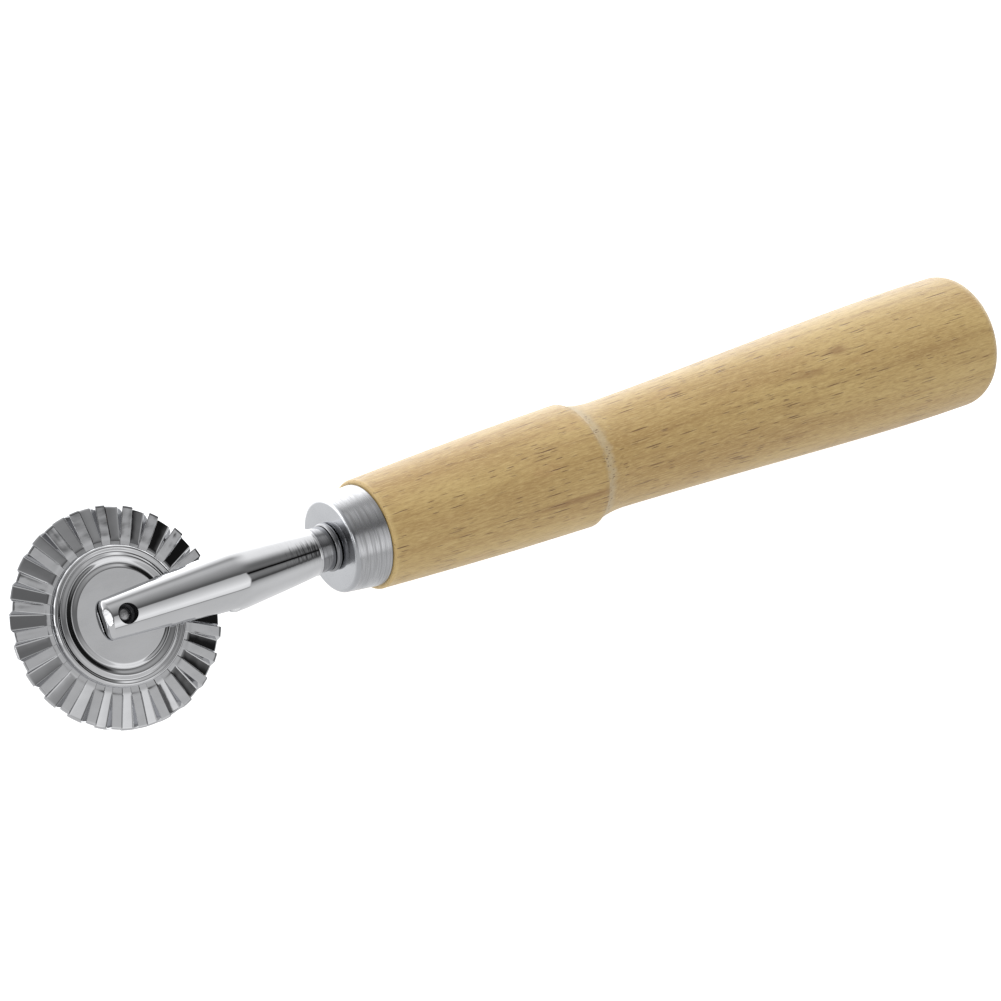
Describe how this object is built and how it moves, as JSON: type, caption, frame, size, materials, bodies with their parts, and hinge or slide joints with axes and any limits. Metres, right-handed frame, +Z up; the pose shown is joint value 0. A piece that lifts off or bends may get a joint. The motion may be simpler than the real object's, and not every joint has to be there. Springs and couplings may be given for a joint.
{
  "type": "pastry cutter wheel",
  "caption": "Fluted pastry cutter wheel that spins on a pin in a slotted chrome fork, with a steel ferrule and a turned wooden handle.",
  "frame": {"origin": "middle of the tool's length, on its centre line, at the height of the lowest line of the wooden grip, with the tool lying on its side", "axes": "+X along the handle from the wheel to the butt, +Z up along the wheel's axle, +Y across the tool in the plane of the wheel"},
  "size_m": [0.1944, 0.035, 0.0242],
  "materials": {
    "handle_wood": "pale close-grained hardwood, satin varnish",
    "ferrule_steel": "drawn and lightly brushed, bright front edge",
    "tang_steel": "turned, bright",
    "fork_chrome": "polished chrome plate",
    "pin_steel": "dull turned steel",
    "blade_chrome": "pressed and plated, slightly uneven",
    "cap_chrome": "polished chrome plate with turned rings",
    "bush_steel": "turned"
  },
  "bodies": {
    "frame": {"handle": "handle_wood", "ferrule": "ferrule_steel", "tang": "tang_steel", "fork": "fork_chrome", "axle_pin": "pin_steel"},
    "wheel": {"blade": "blade_chrome", "hub_cap_top": "cap_chrome", "hub_cap_bottom": "cap_chrome", "hub_bush": "bush_steel"}
  },
  "joints": [
    {"name": "wheel_spin", "type": "hinge", "parent": "frame", "child": "wheel", "pos_m": [-0.07975, 0, 0.0121], "axis": [0, 0, 1], "continuous": true}
  ]
}
